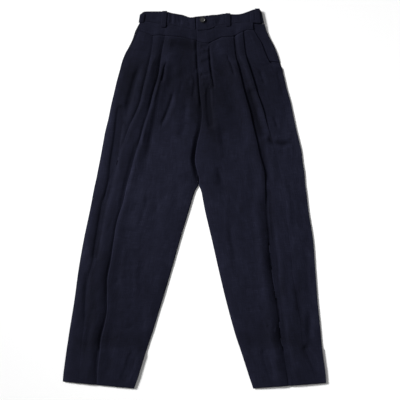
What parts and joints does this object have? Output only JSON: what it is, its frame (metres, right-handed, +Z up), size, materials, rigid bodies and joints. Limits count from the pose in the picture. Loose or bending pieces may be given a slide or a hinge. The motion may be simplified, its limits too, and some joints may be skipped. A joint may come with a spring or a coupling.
{
  "type": "trousers",
  "caption": "Pleated high-waisted trousers in dark cloth, laid flat with the front up: hip yoke, reverse pleats, slant pockets, belt loops and deep hems.",
  "frame": {"origin": "centre of the underside of the laid garment, on the surface that it lies on", "axes": "+Y along the garment towards the waist, +Z up off the surface, out of the garment's front, +X towards the wearer's left leg"},
  "size_m": [0.71, 1.023, 0.0117],
  "materials": {
    "cloth": "matte plain weave",
    "button": "glossy"
  },
  "bodies": {
    "root": {"front_left": "cloth", "front_right": "cloth", "back_left": "cloth", "back_right": "cloth", "front_yoke_left": "cloth", "front_yoke_right": "cloth", "pocket_facing_left": "cloth", "pocket_facing_right": "cloth", "waistband_left": "cloth", "waistband_right": "cloth", "belt_loop_front_left": "cloth", "belt_loop_front_right": "cloth", "belt_loop_side_left": "cloth", "belt_loop_side_right": "cloth", "belt_loop_back": "cloth", "waist_button": "button"}
  },
  "joints": []
}
